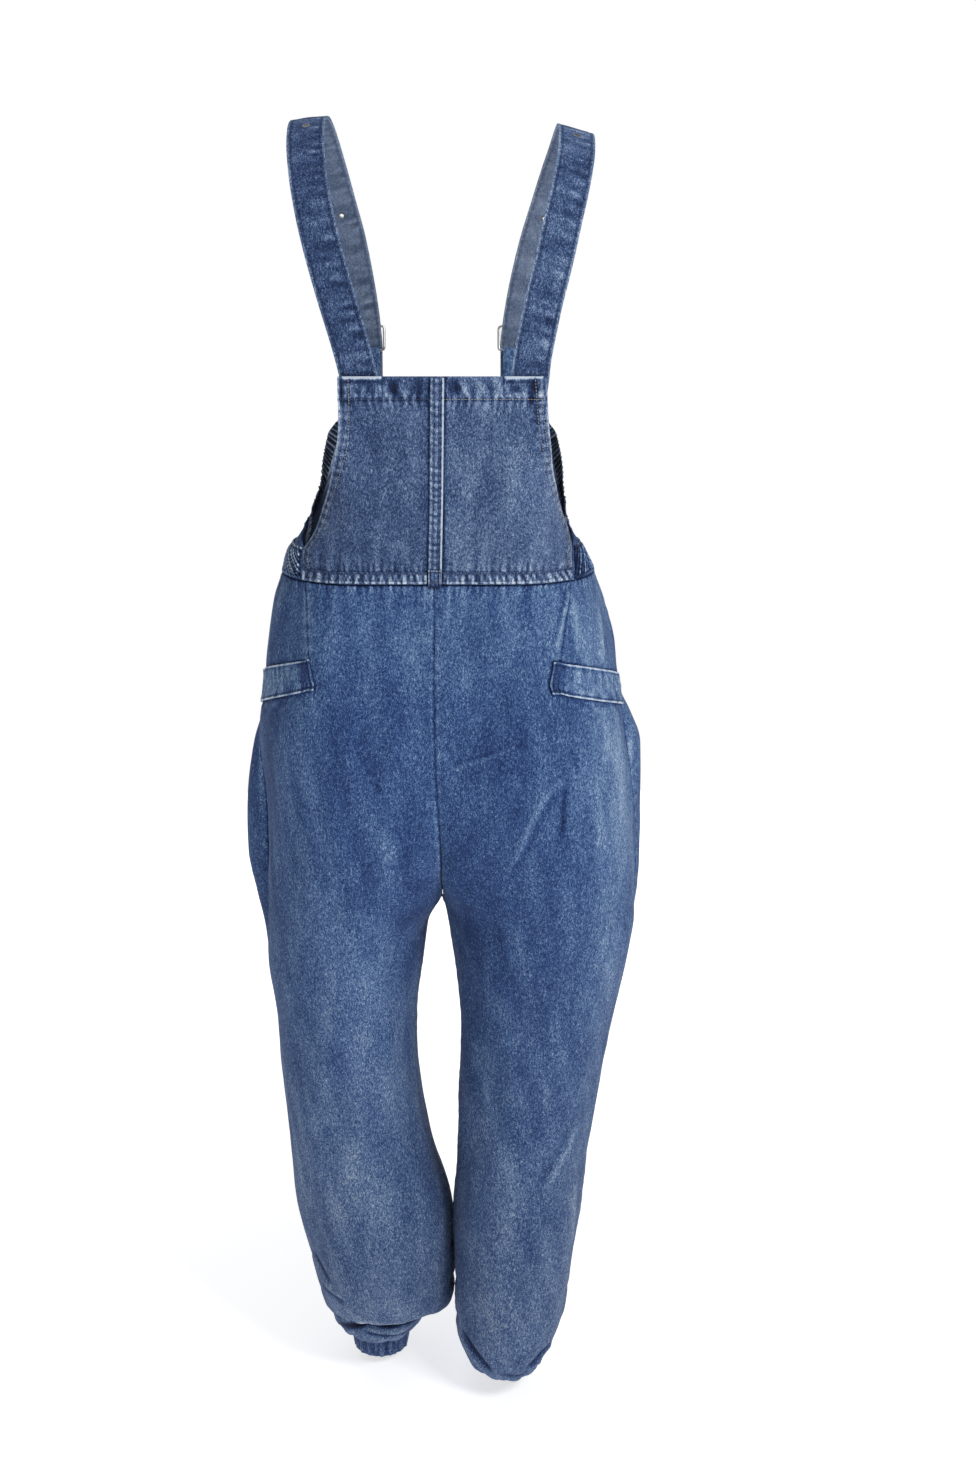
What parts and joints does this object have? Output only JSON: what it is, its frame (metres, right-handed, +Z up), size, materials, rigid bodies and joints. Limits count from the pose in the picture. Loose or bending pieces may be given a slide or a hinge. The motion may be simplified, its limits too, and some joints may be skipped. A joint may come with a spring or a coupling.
{
  "type": "denim dungarees",
  "caption": "Loose denim dungarees with a bib front and back, two buckled shoulder straps, slant pocket welts and ruched elastic ankle cuffs.",
  "frame": {"origin": "midway between the tops of the two shoulder straps, where the wearer's shoulders carry the garment", "axes": "+Z up, from the cuffs to the straps; the front of the garment faces -Y and its back +Y; the wearer's left is +X"},
  "size_m": [0.4475, 0.2665, 1.4326],
  "materials": {
    "denim_mid": "washed mid blue denim, matt",
    "denim_light": "washed denim worn lighter at the edges, matt",
    "denim_elastic": "dark ruched denim over elastic, matt",
    "nickel": "nickel-plated, satin"
  },
  "bodies": {
    "root": {"back_bib_left": "denim_light", "back_bib_right": "denim_light", "back_leg_left": "denim_mid", "back_leg_right": "denim_mid", "back_tab": "denim_light", "buckle_left": "nickel", "buckle_right": "nickel", "centre_back_strip": "denim_light", "cuff_left": "denim_mid", "cuff_right": "denim_mid", "elastic_edge_left": "denim_elastic", "elastic_edge_right": "denim_elastic", "eyelet_left_1": "nickel", "eyelet_left_2": "nickel", "eyelet_left_3": "nickel", "eyelet_left_4": "nickel", "eyelet_right_1": "nickel", "eyelet_right_2": "nickel", "eyelet_right_3": "nickel", "eyelet_right_4": "nickel", "front_bib": "denim_mid", "front_leg_left": "denim_mid", "front_leg_right": "denim_mid", "hip_side_left": "denim_mid", "hip_side_right": "denim_mid", "pocket_welt_left": "denim_mid", "pocket_welt_right": "denim_mid", "prong_left": "nickel", "prong_right": "nickel", "side_band_left": "denim_mid", "side_band_right": "denim_mid", "strap_left": "denim_light", "strap_right": "denim_light", "strap_tab_left": "denim_mid", "strap_tab_right": "denim_mid", "waist_fell_left": "denim_light", "waist_fell_right": "denim_light"}
  },
  "joints": []
}
